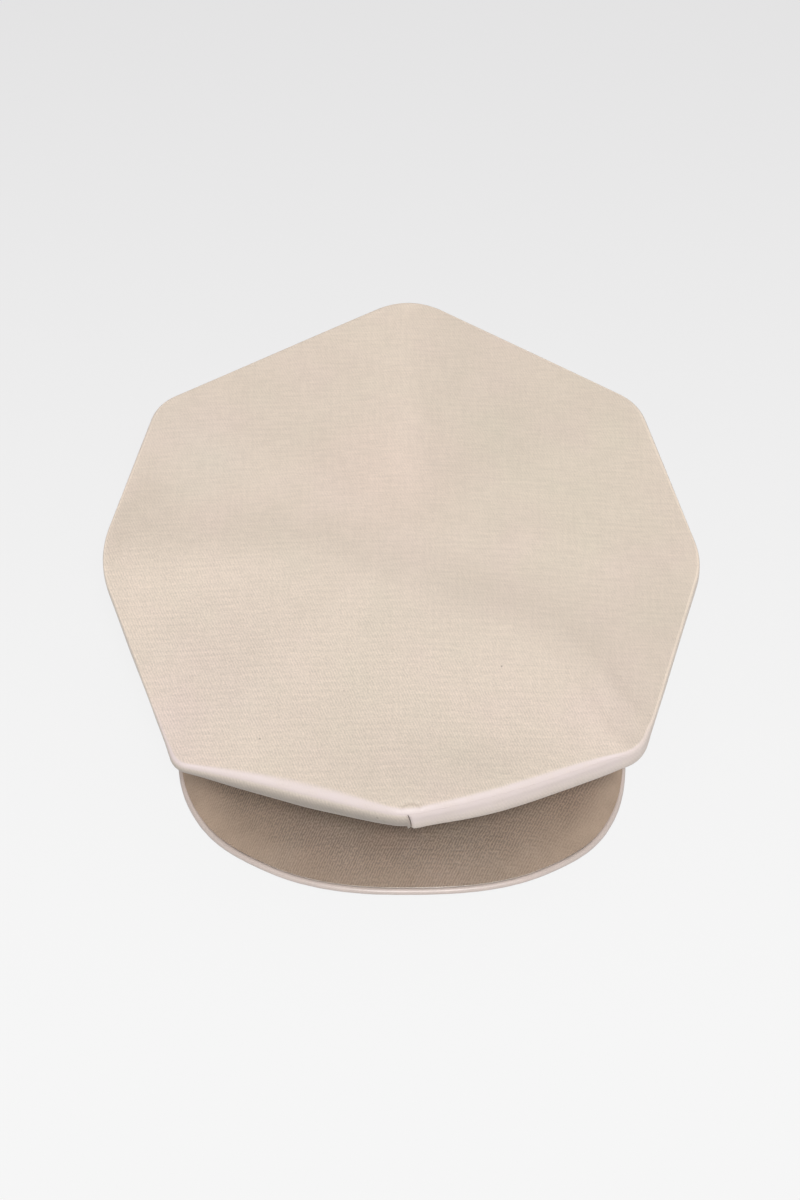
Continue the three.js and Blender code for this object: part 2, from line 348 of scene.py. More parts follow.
def markGroup():
    # one small mark in the cloth, such as a knot of yarn: an uneven spot at a place
    group, given, out = newGroup(
        "yarnMark",
        [
            ("Cloth", "NodeSocketVector", None),
            ("Place", "NodeSocketVector", None),
            ("Size", "NodeSocketFloat", 0.6),
        ],
        [("Mask", "NodeSocketFloat")],
    )
    reach = distanceNode(group, given.outputs["Cloth"], given.outputs["Place"])
    uneven = noiseNode(group, given.outputs["Cloth"], 1.4, 1.0)
    spread = mathNode(group, "MULTIPLY_ADD", uneven, 0.8, reach)
    spread = mathNode(group, "SUBTRACT", spread, 0.4)
    half = mathNode(group, "MULTIPLY", given.outputs["Size"], 0.5)
    mask = rangeNode(group, spread, given.outputs["Size"], half)
    group.links.new(mask, out.inputs["Mask"])
    return group


def areaGroup():
    # a soft area of another tone, fading out from a place
    group, given, out = newGroup(
        "softArea",
        [
            ("Cloth", "NodeSocketVector", None),
            ("Place", "NodeSocketVector", None),
            ("Size", "NodeSocketFloat", 40.0),
        ],
        [("Mask", "NodeSocketFloat")],
    )
    reach = distanceNode(group, given.outputs["Cloth"], given.outputs["Place"])
    uneven = noiseNode(group, given.outputs["Cloth"], 0.03, 3.0)
    uneven = mathNode(group, "SUBTRACT", uneven, 0.5)
    spread = mathNode(group, "MULTIPLY_ADD", uneven, 60.0, reach)
    group.links.new(rangeNode(group, spread, given.outputs["Size"], 0.0), out.inputs["Mask"])
    return group


weave = twillGroup()
tone = toneGroup()
paintedLightNodes = paintedLightGroup()
area = areaGroup()
mark = markGroup()
print("cap: node groups made")

# Colours are linear. slant is the way the ribs run, in degrees from straight up, pitch and rows are
# their spacing and the weft's in millimetres. The gain towards the back brightens the cloth there as
# painted light, calmBack is what is left of the weave there and calmOver where it fades.
knotColour = (0.16, 0.12, 0.09)
sheenRoughness = 0.45
weaveRelief = 0.00012  # metres
clothLooks = {
    "crownTwill": {
        "colour": (0.774, 0.659, 0.553),
        # the paler colour of the painted highlight along the front fold's crest
        "pressed": (0.708, 0.612, 0.592),
        "paintedLightBack": 1.1,
        "calmBack": 0.45,
        "calmOver": (-95, -5),
        "pink": (0.79, 0.655, 0.565),
        "green": (0.75, 0.655, 0.54),
        "patches": 0.55,
        "hollow": 0.245,
        "pitch": 1.15,
        "rows": 3.25,
        "slant": -24,
        "bump": 0.45,
        "rough": 0.5,
        "gloss": 0.45,
        "sheen": 0.1,
    },
    "wallTwill": {
        "colour": (0.72, 0.625, 0.54),
        # the paler colour of the painted highlight along the front fold's crest
        "pressed": (0.708, 0.612, 0.592),
        "pink": (0.745, 0.63, 0.55),
        "green": (0.70, 0.62, 0.52),
        "patches": 0.35,
        "hollow": 0.16,
        "pitch": 1.35,
        "rows": 3.25,
        "slant": -24,
        "bump": 0.35,
        "rough": 0.5,
        "gloss": 0.45,
        "sheen": 0.1,
    },
    "bandTwill": {
        "colour": (0.72, 0.62, 0.52),
        "pink": (0.76, 0.63, 0.54),
        "green": (0.68, 0.605, 0.495),
        "patches": 0.4,
        "hollow": 0.2,
        "pitch": 1.35,
        "rows": 3.25,
        "slant": -24,
        "bump": 0.4,
        "rough": 0.42,
        "gloss": 0.7,
        "sheen": 0.1,
    },
    # the peak's upper cover: a darker cloth, its colour darkened further as painted shade
    "peakTwillAndPaintedShade": {
        "colour": (0.291, 0.214, 0.159),
        # the paler colour of the painted light at the peak's rim and sides
        "pressed": (0.43, 0.32, 0.24),
        "pink": (0.308, 0.218, 0.162),
        "green": (0.279, 0.211, 0.156),
        "patches": 0.8,
        "hollow": 0.42,
        "pitch": 1.1,
        "rows": 1.8,
        "slant": 28,
        "weave": 3.8,
        "bump": 0.6,
        "rough": 0.58,
        "gloss": 0.4,
        "sheen": 0.08,
    },
    "edgeTwill": {
        "colour": (0.64, 0.545, 0.5),
        "pink": (0.66, 0.55, 0.505),
        "green": (0.62, 0.545, 0.49),
        "patches": 0.4,
        "hollow": 0.1,
        "pitch": 0.9,
        "rows": 1.1,
        "slant": 45,
        "bump": 0.2,
        "rough": 0.38,
        "gloss": 0.8,
        "sheen": 0.12,
    },
}


def groupNode(tree, group, values):
    node = tree.nodes.new("ShaderNodeGroup")
    node.node_tree = group
    for name, value in values.items():
        if isinstance(value, (int, float, tuple)):
            node.inputs[name].default_value = value
        else:
            tree.links.new(value, node.inputs[name])
    return node


def clothStrength(tree, cloth, look):
    # the weave shows less towards the back of the cloth if the look says so
    if "calmBack" not in look:
        return look.get("weave", 1.0)
    place = tree.nodes.new("ShaderNodeSeparateXYZ")
    tree.links.new(cloth, place.inputs["Vector"])
    across = mathNode(tree, "MULTIPLY_ADD", place.outputs["X"], 0.4, place.outputs["Y"])
    return rangeNode(tree, across, *look["calmOver"], 1.0, look["calmBack"])


def clothMaterial(name, marks=(), areas=()):
    # marks are rows of a place on the cloth, a size and how dark it is. areas are rows of a place, a
    # size, a strength and a colour.
    look = clothLooks[name]
    material = bpy.data.materials.new(name)
    material.use_nodes = True
    tree = material.node_tree
    shader = tree.nodes["Principled BSDF"]
    cloth = tree.nodes.new("ShaderNodeUVMap")
    cloth.uv_map = "cloth"
    cloth = cloth.outputs["UV"]
    ribs = groupNode(tree, weave, {
        "Cloth": cloth,
        "Rib Pitch": look["pitch"],
        "Rib Slant": radians(look["slant"]),
        "Row Pitch": look["rows"],
        "Strength": clothStrength(tree, cloth, look),
    })
    colour = groupNode(tree, tone, {
        "Cloth": cloth,
        "Rib": ribs.outputs["Rib"],
        "Yarn": ribs.outputs["Yarn"],
        "Colour": (*look["colour"], 1),
        "Pink": (*look["pink"], 1),
        "Green": (*look["green"], 1),
        "Patch Strength": look["patches"],
        "Hollow Shade": look["hollow"],
    }).outputs["Colour"]
    if "pressed" in look:
        pressed = tree.nodes.new("ShaderNodeUVMap")
        pressed.uv_map = "pressed"
        paintedLightAt = tree.nodes.new("ShaderNodeSeparateXYZ")
        tree.links.new(pressed.outputs["UV"], paintedLightAt.inputs["Vector"])
        colour = groupNode(tree, paintedLightNodes, {
            "Cloth": cloth,
            "Painted Highlight": paintedLightAt.outputs["X"],
            "Painted Shade": paintedLightAt.outputs["Y"],
            "Colour": colour,
            "Painted Highlight Colour": (*look["pressed"], 1),
            "Painted Light Gain": look.get("paintedLightBack", 1.0),
        }).outputs["Colour"]
    for place, size, strength, tint in areas:
        soft = groupNode(tree, area, {"Cloth": cloth, "Place": (*place, 0), "Size": size})
        share = mathNode(tree, "MULTIPLY", soft.outputs["Mask"], strength)
        colour = mixColour(tree, share, colour, (*tint, 1), "MULTIPLY")
    height = ribs.outputs["Height"]
    for place, size, dark in marks:
        knot = groupNode(tree, mark, {"Cloth": cloth, "Place": (*place, 0), "Size": size})
        shade = mathNode(tree, "MULTIPLY", knot.outputs["Mask"], dark)
        colour = mixColour(tree, shade, colour, (*knotColour, 1))
        height = mathNode(tree, "MULTIPLY_ADD", knot.outputs["Mask"], 0.6, height)
    tree.links.new(colour, shader.inputs["Base Color"])
    worn = noiseNode(tree, cloth, 0.05, 3.0)
    rough = rangeNode(tree, worn, 0.3, 0.7, look["rough"] - 0.06, look["rough"] + 0.08)
    tree.links.new(rough, shader.inputs["Roughness"])
    shader.inputs["Sheen Weight"].default_value = look["sheen"]
    shader.inputs["Sheen Roughness"].default_value = sheenRoughness
    shader.inputs["Specular IOR Level"].default_value = look["gloss"]
    bump = tree.nodes.new("ShaderNodeBump")
    bump.inputs["Strength"].default_value = look["bump"]
    bump.inputs["Distance"].default_value = weaveRelief
    tree.links.new(height, bump.inputs["Height"])
    tree.links.new(bump.outputs["Normal"], shader.inputs["Normal"])
    return material


# The head band, an oval ring
bandShape = {
    "insideWidth": 168,
    "insideLength": 194,
    "wall": 3,
    "height": 32,
    "bulge": 0.8,
    "seamDepth": 0.5,
    "seamWidth": 1.2,
    "unevenness": 0.25,
    "corners": 0.3,
    "clothRadius": 92,
    "clothAround": 70,
}
bandSide = bandShape["insideWidth"] / 2 + bandShape["wall"]
bandFront = bandShape["insideLength"] / 2 + bandShape["wall"]


def bandPoint(angle, grow, height):
    # grow is counted from the band's outer face
    return Vector(((bandSide + grow) * sin(angle), -(bandFront + grow) * cos(angle), height))


def squared(x):
    # a sine or cosine pushed out towards a square's, for a section with softened corners
    return abs(x) ** bandShape["corners"] * (1 if x > 0 else -1)


def outwards(spot):
    # the way out of the band's ring near a point on it
    angle = atan2(spot.x, -spot.y)
    middle = bandPoint(angle, -bandShape["wall"] / 2, bandShape["height"] / 2)
    away = spot - middle
    away.z *= 0.1
    return away


def makeBand():
    wall, tall = bandShape["wall"], bandShape["height"]

    def place(u, v):
        angle, turn = u * tau, v * tau
        level = 0.5 + 0.5 * squared(sin(turn))
        grow = wall / 2 * (squared(cos(turn)) - 1) + bandShape["bulge"] * sin(pi * level)
        if cos(turn) > 0:
            fromBack = (angle - pi) * bandFront
            grow -= bandShape["seamDepth"] * bell(fromBack, 0, bandShape["seamWidth"])
        grow += bandShape["unevenness"] * ripple(sin(angle) * 3, cos(angle) * 3, level)
        return bandPoint(angle, grow, level * tall)

    def cloth(u, v):
        upOrDown = abs((v + 0.25) % 1 - 0.5)
        return (u * tau * bandShape["clothRadius"], upOrDown * bandShape["clothAround"])

    bm = clothGrid(220, 44, place, cloth=cloth, facing=outwards)
    return finishPiece(bm, "headBand", clothMaterial("bandTwill"), ["head_band"])


# The crown's outline. Each row is a corner, round from the front: across and along are shares of
# half the width and length, hang is how far the wall hangs straight before it turns in, roll is the
# radius of the rolled edge and proud how far it stands out. belly, swell and flare add to hang, roll
# and proud halfway to the next corner.
crownShape = {
    "width": 272,
    "length": 276,
    "forward": 3,
    "frontHeight": 62,
    "backHeight": 82,
    "dome": 8,
    "domeEase": 0.5,
    "sag": 0.35,
    "droop": 2,
    "round": 18,
    "seamSlope": 50,
    "seamGap": 0.04,
    "seatGap": 0.3,
    "rollInset": 0.88,
    "frontHold": 6,
    "rightDone": 0.1,
    "leftBegins": 0.9,
    "cloth": 1.1,
}
cornerColumns = (
    "across", "along", "droop", "round", "steps", "hang",
    "belly", "roll", "proud", "swell", "flare",
)
cornerTable = [
    (0.018, -1.006, 0.0, 0.45, 14, 4.8, 1.1, 5.2, 4.0, 0.6, 1.7),
    (0.772, -0.783, 1.0, 0.5, 8, 5.6, 0.0, 2.8, 0.7, 0.0, 0.0),
    (0.99, -0.075, 0.5, 0.6, 8, 3.0, 0.0, 1.8, 1.2, 0.0, 0.0),
    (0.8, 0.555, 0.5, 0.55, 8, 17.0, 0.0, 3.0, 1.5, 0.0, 0.0),
    (0.028, 1.0, 0.0, 1.0, 24, 20.0, 0.0, 3.0, 1.2, 0.0, 0.0),
    (-0.83, 0.555, 0.5, 0.5, 8, 17.0, 0.0, 3.0, 0.7, 0.0, 0.0),
    (-1.01, -0.065, 0.5, 1.0, 8, 2.0, 0.0, 1.6, 0.2, 0.0, 0.0),
    (-0.728, -0.835, 1.0, 0.3, 8, 1.0, 0.4, 2.6, 0.5, 2.7, -0.3),
]
crownCorners = [dict(zip(cornerColumns, row)) for row in cornerTable]
seamHang = 2.4  # the front corner's hang on the left of its seam
edgeSteps = 30


def seamHeight(y):
    share = (y + crownShape["forward"]) / crownShape["length"] + 0.5
    return mix(crownShape["frontHeight"], crownShape["backHeight"], share)


def crownOutline():
    # stations round the crown, each with its point on the seam, hang, roll, proud, and between, which
    # is 0 at a corner and 1 halfway to the next. Also the length so far at each, and the corners'
    # stations.
    corners = []
    for row in crownCorners:
        y = row["along"] * crownShape["length"] / 2 - crownShape["forward"]
        z = seamHeight(y) - row["droop"] * crownShape["droop"]
        corners.append(Vector((row["across"] * crownShape["width"] / 2, y, z)))
    count = len(corners)
    bends = []
    for k, corner in enumerate(corners):
        reach = crownCorners[k]["round"] * crownShape["round"]
        before = corner + (corners[k - 1] - corner).normalized() * reach
        after = corner + (corners[(k + 1) % count] - corner).normalized() * reach
        bends.append((before, corner, after))

    def bendPoint(bend, t):
        return bend[0] * (1 - t) ** 2 + bend[1] * 2 * t * (1 - t) + bend[2] * t**2

    def station(spot, row, nextRow, share):
        # hang, roll and proud each change over to the next corner's in their own time
        between = sin(pi * share)
        hang, roll, proud = share, smooth(0, 1, share), smooth(0, 1, share)
        if row is crownCorners[0]:
            hang = roll = share ** crownShape["frontHold"]
        elif row is crownCorners[1]:
            hang = roll = proud = smooth(0, crownShape["rightDone"], share)
        elif nextRow is crownCorners[-1]:
            roll = proud = smooth(crownShape["leftBegins"], 1, share)
        return {
            "point": spot,
            "hang": mix(row["hang"], nextRow["hang"], hang) + row["belly"] * between,
            "roll": mix(row["roll"], nextRow["roll"], roll) + row["swell"] * between,
            "proud": mix(row["proud"], nextRow["proud"], proud) + row["flare"] * between,
            "between": between,
        }

    stations, marks = [], []
    for k in range(count):
        row, nextRow = crownCorners[k], crownCorners[(k + 1) % count]
        if k == count - 1:
            nextRow = {**nextRow, "hang": seamHang}
        here, following = bends[k], bends[(k + 1) % count]
        marks.append(len(stations))
        for t in range(row["steps"]):
            stations.append(station(bendPoint(here, 0.5 + 0.5 * t / row["steps"]), row, nextRow, 0))
        for t in range(edgeSteps):
            share = t / edgeSteps
            stations.append(station(here[2].lerp(following[0], share), row, nextRow, share))
        for t in range(nextRow["steps"]):
            stations.append(station(bendPoint(following, 0.5 * t / nextRow["steps"]), row, nextRow, 1))
    stations.append({**stations[0], "hang": seamHang})
    lengths = [0.0]
    for a, b in zip(stations, stations[1:]):
        lengths.append(lengths[-1] + (b["point"] - a["point"]).length)
    return stations, lengths, marks


outline, outlineLengths, cornerStations = crownOutline()
outlineAround = outlineLengths[-1]
backStation = cornerStations[4]
crownMiddle = Vector((0, -crownShape["forward"], seamHeight(-crownShape["forward"])))


def lengthAt(station):
    k = min(int(station), len(outlineLengths) - 2)
    return mix(outlineLengths[k], outlineLengths[k + 1], station - k)


@lru_cache(maxsize=None)
def edgeAt(length):
    # all that is known of the crown's edge at a length round it
    length %= outlineAround
    k = min(max(bisect_left(outlineLengths, length), 1), len(outline) - 1)
    low, high = outlineLengths[k - 1], outlineLengths[k]
    share = (length - low) / (high - low)
    before, after = outline[k - 1], outline[k]
    edge = {name: mix(before[name], after[name], share) for name in ("hang", "roll", "proud", "between")}
    point = before["point"].lerp(after["point"], share)
    angle = atan2(point.x / bandSide, -(point.y + crownShape["forward"]) / bandFront)
    edge["point"] = point
    edge["foot"] = bandPoint(angle, 0, bandShape["height"] + crownShape["seatGap"])
    edge["out"] = Vector((point.x - edge["foot"].x, point.y - edge["foot"].y, 0)).normalized()
    # inset runs from the roll's outermost line to where the panel starts to bend
    inset = edge["roll"] * crownShape["rollInset"]
    edge["rim"] = point - edge["out"] * (inset - edge["proud"])
    near, end = panelPoint(edge, 0.99), panelPoint(edge, 1)
    edge["slope"] = atan2(near.z - end.z, (end - near).to_2d().length)
    edge["roll"] = inset / (1 - sin(edge["slope"]))
    edge["top"] = end.z
    return edge


def panelPoint(edge, share):
    # the top panel without its folds, from the crown's middle to where its edge starts to roll
    spot = crownMiddle.lerp(edge["rim"], share)
    whole = (edge["point"] - crownMiddle).to_2d().length
    reach = share * (edge["rim"] - crownMiddle).to_2d().length / whole
    domed = mix(1 - reach**2.2, 0.5 + 0.5 * cos(pi * min(reach, 1)), crownShape["domeEase"])
    spot.z += crownShape["dome"] * domed
    spot.z -= crownShape["sag"] * edge["between"] * sin(pi * share**1.6)
    return spot


def rollPoint(edge, slope):
    # the rolled edge, where the cloth slopes down by that angle
    away = edge["proud"] - edge["roll"] * (1 - sin(slope))
    spot = edge["point"] + edge["out"] * away
    spot.z = edge["top"] - edge["roll"] * (cos(edge["slope"]) - cos(slope))
    return spot


# The crown's top panel, whose edge rolls over to the seam. A long soft fold crosses it from the left
# corner to the front right one, its crest given by rows of x and y.
crownFolds = {
    "centreRidge": 0.45,
    "slowWaves": 0.7,
    "longFold": 1.0,
    "longFoldWidth": 18,
    "longFoldRight": 0.2,
    "cornerFold": 1.0,
    "cornerFoldFrom": (108, -107),
    "cornerFoldRun": (-0.455, 0.89),
    # painted light along the rolled edge and wall away from the front
    "paintedLightSides": 0.16,
    "seamPucker": 0.55,
    "seamCorner": (3.8, -142),
    "seamRing": 3.4,
}
longFoldCrest = [
    (-140, -8), (-114, -4), (-50, -12), (-4, -22), (32, -33),
    (59, -40), (86, -61), (104, -101), (140, -171),
]
# The ridges across the front right corner's fold: how far beside its crest, width and height
cornerRidges = [(0, 4, 1.0), (-16, 4.5, 0.45), (-8, 4, -0.7), (8, 5, -0.3)]
# Places where the panel gets painted shade: x, y, reach across and along, and how much
paintedShadePlaces = [
    (8, -124, 42, 20, 0.07),
    (40, -118, 22, 10, 0.045),
    (25, -44, 25, 14, 0.035),
    (114, -15, 15, 26, 0.035),
    (-108, -14, 14, 12, 0.03),
    (-38, -97, 34, 18, 0.025),
    (-122, 18, 18, 16, 0.06),
]
panelShare = 0.84  # how far along its rows the panel starts to roll


def cornerFold(x, y):
    # the fold that runs in from the front right corner, with the hollows beside it
    runX, runY = crownFolds["cornerFoldRun"]
    awayX, awayY = x - crownFolds["cornerFoldFrom"][0], y - crownFolds["cornerFoldFrom"][1]
    run = awayX * runX + awayY * runY
    side = awayX * runY - awayY * runX + run * run * 0.0016
    fade = smooth(-2, 12, run) * exp(-max(run, 0) / 30)
    return fade * sum(height * bell(side, beside, width) for beside, width, height in cornerRidges)


def crownRelief(x, y, share):
    calm = smooth(1.0, 0.86, share)
    lift = crownFolds["slowWaves"] * ripple(x / 75 + 3.1, y / 75 + 1.7) * calm
    lift += 0.1 * ripple(x / 24, y / 24, 5.0) * calm
    ridge = bell(x, -1, 7) * smooth(0.15, 0.5, share) * calm
    lift += crownFolds["centreRidge"] * ridge * smooth(-30, 40, y)
    fold = bell(y, rowValue(longFoldCrest, x), crownFolds["longFoldWidth"])
    fold *= mix(1, crownFolds["longFoldRight"], smooth(-60, 70, x))
    lift += crownFolds["longFold"] * fold * smooth(1, 0.93, share)
    lift += crownFolds["cornerFold"] * cornerFold(x, y) * smooth(1.0, 0.95, share)
    awayX, awayY = x - crownFolds["seamCorner"][0], y - crownFolds["seamCorner"][1]
    ring = bell(hypot(awayX * 0.75, awayY), crownFolds["seamRing"], 0.75)
    lift -= crownFolds["seamPucker"] * ring * smooth(7, 3, abs(awayX))
    return lift


def crownPaintedShade(x, y):
    # painted light and shade on the panel: painted shade behind the long fold, just ahead of its crest,
    # to the right at the back, at the front and at the listed places, painted light along the middle at
    # the back, at the left front and on the corner fold's ridges, with painted shade in its hollows
    ahead = rowValue(longFoldCrest, x) - y
    edgeOfShade = mix(10, 26, smooth(-60, 90, x))
    dull = mix(0.07, 0.062, smooth(20, 90, x)) * smooth(edgeOfShade, -8, ahead)
    dull += 0.04 * bell(ahead, 4, 13) * mix(1, 0.8, smooth(-100, 40, x))
    dull -= 0.04 * bell(x, -3, 18) * smooth(0, 40, y)
    dull += 0.03 * smooth(0, 14, x) * smooth(-10, 30, y)
    dull -= 0.03 * bell(x, -118, 16) * smooth(-10, -40, y)
    for middleX, middleY, across, along, strength in paintedShadePlaces:
        dull += strength * bell(x, middleX, across) * bell(y, middleY, along)
    return dull - 0.05 * cornerFold(x, y)


def crownTopPoint(u, v):
    edge = edgeAt(lengthAt(u * (len(outline) - 1)))
    if v <= panelShare:
        share = 1 - (1 - v / panelShare) ** 1.5
        spot = panelPoint(edge, share)
        spot.z += crownRelief(spot.x, spot.y, share)
        return spot
    slope = mix(edge["slope"], radians(crownShape["seamSlope"]), (v - panelShare) / (1 - panelShare))
    spot = rollPoint(edge, slope)
    spot.z += crownRelief(spot.x, spot.y, 1.0) * smooth(radians(45), edge["slope"], slope)
    return spot


def crownTopCloth(u, v):
    if v <= panelShare:
        return crownTopPoint(u, v).to_2d()
    edge = edgeAt(lengthAt(u * (len(outline) - 1)))
    turned = (radians(crownShape["seamSlope"]) - edge["slope"]) * (v - panelShare) / (1 - panelShare)
    return (edge["rim"] + edge["out"] * edge["roll"] * turned).to_2d()


def frontHighlight(length):
    # the painted highlight goes only on the front edges
    return smooth(-0.62, -0.82, edgeAt(length)["out"].y)


def crownTopPaintedLight(u, v):
    # the painted highlight on the front roll, the panel's painted light and shade fading out over the
    # roll, and painted light on the rolls away from the front
    turned = (v - panelShare) / (1 - panelShare)
    spot = crownTopPoint(u, v)
    front = frontHighlight(lengthAt(u * (len(outline) - 1)))
    begins = mix(0.1, -0.12, smooth(0, -30, spot.x))
    dull = crownPaintedShade(spot.x, spot.y) * smooth(0.35, 0, turned)
    dull -= crownFolds["paintedLightSides"] * smooth(0.05, 0.6, turned) * (1 - front)
    return front * smooth(begins, 0.47, turned), dull


# Knots in the yarn: place, size and how dark. Then soft areas of another tone: place, size, strength
# and tint.
crownMarks = [
    ((44, -72), 0.55, 0.5),
    ((-62, -107), 0.6, 0.5),
    ((-25.6, -84.5), 0.45, 0.25),
    ((-24.8, -88.5), 0.4, 0.25),
    ((-24.7, -92.5), 0.4, 0.25),
]
crownAreas = [
    # the two areas at the front left, paler and bluer, are a painted highlight; the others are tone
    # patches
    ((-85, -70), 66, 0.8, (1.005, 0.995, 1.015)),
    ((-100, -98), 44, 0.8, (1.02, 1.01, 1.05)),
    ((-6, 26), 55, 0.8, (1.01, 0.97, 0.985)),
    ((90, -94), 40, 0.8, (1.02, 1.005, 1.03)),
    ((75, 25), 90, 0.8, (0.985, 1.005, 0.985)),
    ((-95, 50), 42, 0.7, (0.985, 1.0, 1.02)),
]


def makeCrownTop():
    bm = clothGrid(
        len(outline) - 1, 62, crownTopPoint,
        cloth=crownTopCloth,
        facing=lambda spot: Vector((0, 0, 1)),
        paintedLightAt=crownTopPaintedLight,
    )
    material = clothMaterial("crownTwill", crownMarks, crownAreas)
    wall = crownShape["cloth"]
    return finishPiece(bm, "crownTop", material, ["crown_top"], wall=wall)


# The side walls. The rows are shares of the way out and up from the band, under the turned-in edge.
wallRows = [(0.62, 0.72), (0.3, 0.5), (0.03, 0.25), (0.0, 0.0)]
wallFolds = {
    "seamGap": 0.3,
    "seamDepth": 1.0,
    "seamWidth": 0.8,
    "seamBow": 1.5,
    "softness": 0.5,
    "gathers": 0.5,
    # how far down each wall the painted highlight reaches, in millimetres, then the painted shade on
    # each wall and lower down, painted light where negative
    "pressedRight": 13,
    "pressedLeft": 1.6,
    "dullRight": -0.05,
    "dullLeft": 0.42,
    "dullBelow": 0.15,
    "fullness": 0.5,
    "turnIn": 5.4,
}


@lru_cache(maxsize=None)
def wallSection(length):
    # points out from the foot and up, from the seam with the top panel down to the band
    edge = edgeAt(length)
    foot = edge["foot"]
    overhang = (edge["point"] - foot).to_2d().length
    start = radians(crownShape["seamSlope"]) + crownShape["seamGap"] / edge["roll"]
    points = []
    for share in (0, 0.33, 0.67, 1):
        spot = rollPoint(edge, mix(start, pi / 2, share))
        points.append(Vector(((spot - foot).to_2d().length, spot.z - foot.z)))
    out, up = points[-1]
    if edge["hang"] > 1:
        full = wallFolds["fullness"] * smooth(1, 8, edge["hang"])
        points.append(Vector((out + full, up - edge["hang"] / 2)))
    up -= max(edge["hang"], 0)
    turnIn = wallFolds["turnIn"]
    for slope in (115, 140, 165):
        away = turnIn * (sin(radians(slope)) - 1)
        points.append(Vector((out + away, up + turnIn * cos(radians(slope)))))
    out, up = points[-1]
    for across, high in wallRows:
        points.append(Vector((across * overhang, high * up)))
    return points


def makeWall(name, side, nodes):
    # runs from the front seam to the back one, to the right if side is 1 and to the left if it is -1
    hand = "Right" if side > 0 else "Left"
    first = 0 if side > 0 else len(outline) - 1
    reach = abs(outlineLengths[backStation] - outlineLengths[first])

    def runAt(u):
        length = lengthAt(mix(first, backStation, u))
        return length if side > 0 else outlineAround - length

    def place(u, v):
        run = runAt(u)
        back = reach - run
        share = v**1.4
        inset = wallFolds["seamGap"] / 2 * smooth(0, 0.05, v)
        bow = wallFolds["seamBow"] * (sin(pi * min(share / 0.3, 1)) + 0.25 * share) * smooth(16, 0, run)
        length = side * min(max(run, inset), reach - inset) + bow
        edge = edgeAt(length)
        flat = softLine(wallSection(length), share)
        drawn = bell(run, 0, wallFolds["seamWidth"]) + bell(back, 0, wallFolds["seamWidth"])
        loose = smooth(0.04, 0.25, v) * smooth(1, 0.92, v)
        wave = wallFolds["softness"] * ripple(length / 26, v * 2.2, 9.0)
        wave += wallFolds["gathers"] * ripple(length / 7, v * 1.5, 4.0) * smooth(0.5, 0.9, v)
        away = flat.x + wave * loose - wallFolds["seamDepth"] * drawn * smooth(0, 0.12, v)
        return edge["foot"] + edge["out"] * away + Vector((0, 0, flat.y))

    def cloth(u, v):
        run = runAt(u)
        points = wallSection(side * run)
        whole = sum((b - a).length for a, b in zip(points, points[1:]))
        return (side * run, -whole * v**1.4)

    def paintedLightAt(u, v):
        # painted highlight down the front fold; painted shade darker on the left wall, painted light on
        # the right, painted light away from the front and painted shade lower down
        down = -cloth(u, v)[1]
        front = frontHighlight(side * runAt(u))
        dull = wallFolds["dull" + hand] * smooth(-0.5, 6, down)
        dull = mix(-crownFolds["paintedLightSides"], dull, front)
        dull = mix(dull, wallFolds["dullBelow"], smooth(7, 15, down))
        return front * smooth(wallFolds["pressed" + hand], 0, down), dull

    bm = clothGrid(
        abs(backStation - first), 56, place,
        cloth=cloth,
        facing=lambda spot: Vector((spot.x, spot.y, -20)),
        paintedLightAt=paintedLightAt,
    )
    marks = [((-13, -4), 0.55, 0.5)] if side < 0 else []
    material = clothMaterial("wallTwill", marks)
    return finishPiece(bm, name, material, nodes, wall=crownShape["cloth"])


# The peak
peakShape = {
    "width": 205,
    "reach": 38,
    "widestAhead": 58,
    "cheek": 0.8,
    "drop": 17,
    "camber": 2,
    "seatHeight": 7,
    "seatOut": 0.75,
    "leftFullness": 2.15,
    "rightFullness": 2.45,
    "hornAhead": 8,
    "hornWidth": 4.5,
    "upperCover": 1.2,
    "underCover": 1.3,
    "coverGap": 0.35,
    "edgeWidth": 3.2,
    "edgeOut": 2.1,
    "edgeHeight": 3.25,
    "edgeOverlap": 0.06,
    "unevenness": 0.12,
    "edgeClothLong": 330,
    "edgeClothWide": 9,
}
# painted light at the peak's rim and sides, and the painted shadow the crown throws in front of its edge
peakTones = {
    "rimMiddle": 0.3,
    "sidePaintedLight": 0.52,
    "shade": 0.27,
    "shadeFront": 110,
    "shadeSlant": 0.26,
}
# How far the rim drops, by the share of the way from the middle to its end
rimDrops = [(0, 0.58), (0.3, 0.68), (0.55, 0.96), (0.68, 1.0), (0.8, 0.88), (0.92, 0.36), (1, -0.1)]


def rimPoint(along):
    # along runs from -1 at the left end to 1 at the right one. Past cheek the rim runs back to the band.
    side, far = (1 if along > 0 else -1), abs(along)
    half = peakShape["width"] / 2
    cheek = peakShape["cheek"]
    if far <= cheek:
        angle = far / cheek * pi / 2
        power = 2 / peakShape["leftFullness" if side < 0 else "rightFullness"]
        x = side * half * sin(angle) ** power
        reach = bandFront + peakShape["reach"] - peakShape["widestAhead"]
        y = -peakShape["widestAhead"] - reach * max(cos(angle), 0) ** power
    else:
        angle = (far - cheek) / (1 - cheek) * pi / 2
        x = side * mix(bandSide + peakShape["coverGap"] + peakShape["hornWidth"], half, cos(angle))
        y = mix(-peakShape["widestAhead"], -peakShape["hornAhead"], sin(angle))
    return Vector((x, y, -peakShape["drop"] * rowValue(rimDrops, far)))


def peakSection(along):
    # where the peak meets the band, its rim, the way down to the rim and the way square to that
    hornAngle = acos(peakShape["hornAhead"] / bandFront)
    seat = bandPoint(along * hornAngle, peakShape["seatOut"], peakShape["seatHeight"])
    rim = rimPoint(along)
    down = (rim - seat).normalized()
    lift = Vector((down.x, down.y, 0)).normalized() * -down.z
    lift.z = hypot(down.x, down.y)
    return seat, rim, down, lift


